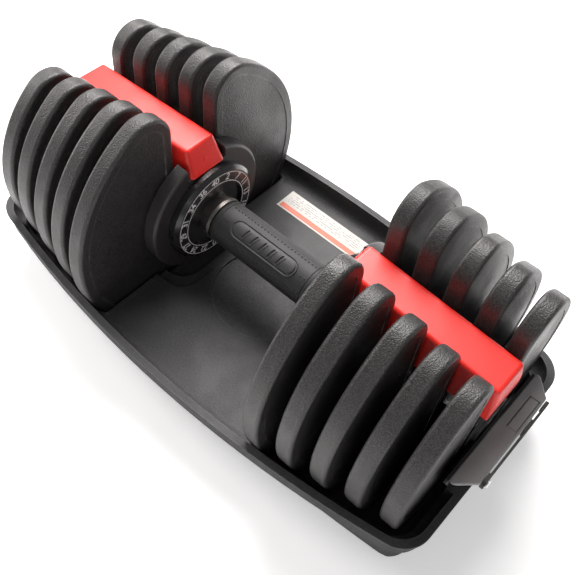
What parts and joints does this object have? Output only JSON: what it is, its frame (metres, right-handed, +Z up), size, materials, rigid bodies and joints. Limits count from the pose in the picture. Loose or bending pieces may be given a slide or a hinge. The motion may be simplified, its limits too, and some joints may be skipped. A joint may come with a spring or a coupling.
{
  "type": "adjustable dumbbell",
  "caption": "Adjustable dumbbell with slotted weight plates, number dials on the handle and red top covers, resting in a black storage tray.",
  "frame": {"origin": "on the ground under the middle of the tray", "axes": "+X along the handle, +Y from the front of the tray to its back, +Z up"},
  "size_m": [0.4878, 0.261, 0.2086],
  "materials": {
    "black_steel": "black powder coat",
    "bright_steel": "ground steel",
    "bush_nylon": "natural nylon",
    "button_plastic": "satin dark grey plastic",
    "cam_metal": "die cast",
    "collar_metal": "satin metal",
    "cover_red": "satin bright red plastic",
    "dial_gloss": "glossy black with white numbers",
    "foot_rubber": "matt rubber",
    "grip_rubber": "fine dotted rubber",
    "housing_plastic": "satin black plastic",
    "label_film": "printed film with an orange band and no lettering",
    "liner_plastic": "matt black plastic",
    "pad_rubber": "smooth rubber with slanted ribs",
    "plate_iron": "hammered black stove paint on cast iron",
    "spring_steel": "bright spring steel",
    "strap_plastic": "dark plastic",
    "tower_plastic": "satin dark grey plastic",
    "tray_plastic": "fine-grained black plastic",
    "zinc_steel": "zinc plated"
  },
  "bodies": {
    "tray_base": {"tray": "tray_plastic", "plate_pocket_right": "tray_plastic", "plate_pocket_left": "tray_plastic", "cradle_right": "tray_plastic", "cradle_left": "tray_plastic", "tray_feet": "foot_rubber", "tray_label": "label_film", "tower_right": "tower_plastic", "tower_left": "tower_plastic", "tower_liner_right": "liner_plastic", "tower_liner_left": "liner_plastic", "tower_screws": "zinc_steel", "strap_screws": "zinc_steel", "button_springs": "spring_steel"},
    "handle": {"center_axle": "bright_steel", "axle_bolts": "zinc_steel", "cover_right": "cover_red", "cover_left": "cover_red", "cover_screws": "zinc_steel", "spine_bar_right": "black_steel", "spine_bar_left": "black_steel", "end_plate_right": "black_steel", "end_plate_left": "black_steel", "housing_right": "housing_plastic", "housing_left": "housing_plastic", "bush_right": "bush_nylon", "bush_left": "bush_nylon", "detent_balls": "spring_steel", "detent_springs": "spring_steel", "lock_springs": "spring_steel"},
    "selector": {"grip_core": "bright_steel", "grip_sleeve": "grip_rubber", "grip_pads": "pad_rubber", "collar_right": "collar_metal", "collar_left": "collar_metal", "dial_right": "dial_gloss", "dial_left": "dial_gloss", "selector_barrel_right": "bright_steel", "selector_barrel_left": "bright_steel", "selector_cams_right": "cam_metal", "selector_cams_left": "cam_metal"},
    "plate_1_right": {"weight_plate_1_right": "plate_iron"},
    "plate_2_right": {"weight_plate_2_right": "plate_iron"},
    "plate_3_right": {"weight_plate_3_right": "plate_iron"},
    "plate_4_right": {"weight_plate_4_right": "plate_iron"},
    "plate_5_right": {"weight_plate_5_right": "plate_iron"},
    "plate_1_left": {"weight_plate_1_left": "plate_iron"},
    "plate_2_left": {"weight_plate_2_left": "plate_iron"},
    "plate_3_left": {"weight_plate_3_left": "plate_iron"},
    "plate_4_left": {"weight_plate_4_left": "plate_iron"},
    "plate_5_left": {"weight_plate_5_left": "plate_iron"},
    "lock_pin_right_body": {"lock_pin_right": "bright_steel"},
    "strap_right": {"carry_strap_right": "strap_plastic"},
    "button_right": {"release_button_right": "button_plastic"},
    "lock_pin_left_body": {"lock_pin_left": "bright_steel"},
    "strap_left": {"carry_strap_left": "strap_plastic"},
    "button_left": {"release_button_left": "button_plastic"}
  },
  "joints": [
    {"name": "handle_lift", "type": "slide", "parent": "tray_base", "child": "handle", "axis": [0, 0, 1], "range_m": [0, 0.16]},
    {"name": "dial_turn", "type": "hinge", "parent": "handle", "child": "selector", "pos_m": [0, 0, 0.095], "axis": [1, 0, 0], "range_deg": [0, 337.5]},
    {"name": "plate_1_right_lift", "type": "slide", "parent": "tray_base", "child": "plate_1_right", "axis": [0, 0, 1], "range_m": [0, 0.16]},
    {"name": "plate_2_right_lift", "type": "slide", "parent": "tray_base", "child": "plate_2_right", "axis": [0, 0, 1], "range_m": [0, 0.16]},
    {"name": "plate_3_right_lift", "type": "slide", "parent": "tray_base", "child": "plate_3_right", "axis": [0, 0, 1], "range_m": [0, 0.16]},
    {"name": "plate_4_right_lift", "type": "slide", "parent": "tray_base", "child": "plate_4_right", "axis": [0, 0, 1], "range_m": [0, 0.16]},
    {"name": "plate_5_right_lift", "type": "slide", "parent": "tray_base", "child": "plate_5_right", "axis": [0, 0, 1], "range_m": [0, 0.16]},
    {"name": "plate_1_left_lift", "type": "slide", "parent": "tray_base", "child": "plate_1_left", "axis": [0, 0, 1], "range_m": [0, 0.16]},
    {"name": "plate_2_left_lift", "type": "slide", "parent": "tray_base", "child": "plate_2_left", "axis": [0, 0, 1], "range_m": [0, 0.16]},
    {"name": "plate_3_left_lift", "type": "slide", "parent": "tray_base", "child": "plate_3_left", "axis": [0, 0, 1], "range_m": [0, 0.16]},
    {"name": "plate_4_left_lift", "type": "slide", "parent": "tray_base", "child": "plate_4_left", "axis": [0, 0, 1], "range_m": [0, 0.16]},
    {"name": "plate_5_left_lift", "type": "slide", "parent": "tray_base", "child": "plate_5_left", "axis": [0, 0, 1], "range_m": [0, 0.16]},
    {"name": "lock_pin_right_drop", "type": "slide", "parent": "handle", "child": "lock_pin_right_body", "axis": [0, 0, -1], "range_m": [0, 0.004]},
    {"name": "carry_strap_right_swing", "type": "hinge", "parent": "tray_base", "child": "strap_right", "pos_m": [0.24, -0.039, 0.0885], "axis": [1, 0, 0], "range_deg": [0, 90]},
    {"name": "release_button_right_press", "type": "slide", "parent": "tray_base", "child": "button_right", "axis": [0, 0, -1], "range_m": [0, 0.0025]},
    {"name": "lock_pin_left_drop", "type": "slide", "parent": "handle", "child": "lock_pin_left_body", "axis": [0, 0, -1], "range_m": [0, 0.004]},
    {"name": "carry_strap_left_swing", "type": "hinge", "parent": "tray_base", "child": "strap_left", "pos_m": [-0.24, 0.039, 0.0885], "axis": [-1, 0, 0], "range_deg": [0, 90]},
    {"name": "release_button_left_press", "type": "slide", "parent": "tray_base", "child": "button_left", "axis": [0, 0, -1], "range_m": [0, 0.0025]}
  ],
  "couplings": [
    {"joint": "plate_1_right_lift", "follows": "handle_lift", "ratio": 1},
    {"joint": "plate_2_right_lift", "follows": "handle_lift", "ratio": 1},
    {"joint": "plate_3_right_lift", "follows": "handle_lift", "ratio": 1},
    {"joint": "plate_4_right_lift", "follows": "handle_lift", "ratio": 1},
    {"joint": "plate_5_right_lift", "follows": "handle_lift", "ratio": 1},
    {"joint": "plate_1_left_lift", "follows": "handle_lift", "ratio": 1},
    {"joint": "plate_2_left_lift", "follows": "handle_lift", "ratio": 1},
    {"joint": "plate_3_left_lift", "follows": "handle_lift", "ratio": 1},
    {"joint": "plate_4_left_lift", "follows": "handle_lift", "ratio": 1},
    {"joint": "plate_5_left_lift", "follows": "handle_lift", "ratio": 1},
    {"joint": "lock_pin_right_drop", "follows": "handle_lift", "ratio": 0.025},
    {"joint": "lock_pin_left_drop", "follows": "handle_lift", "ratio": 0.025}
  ]
}
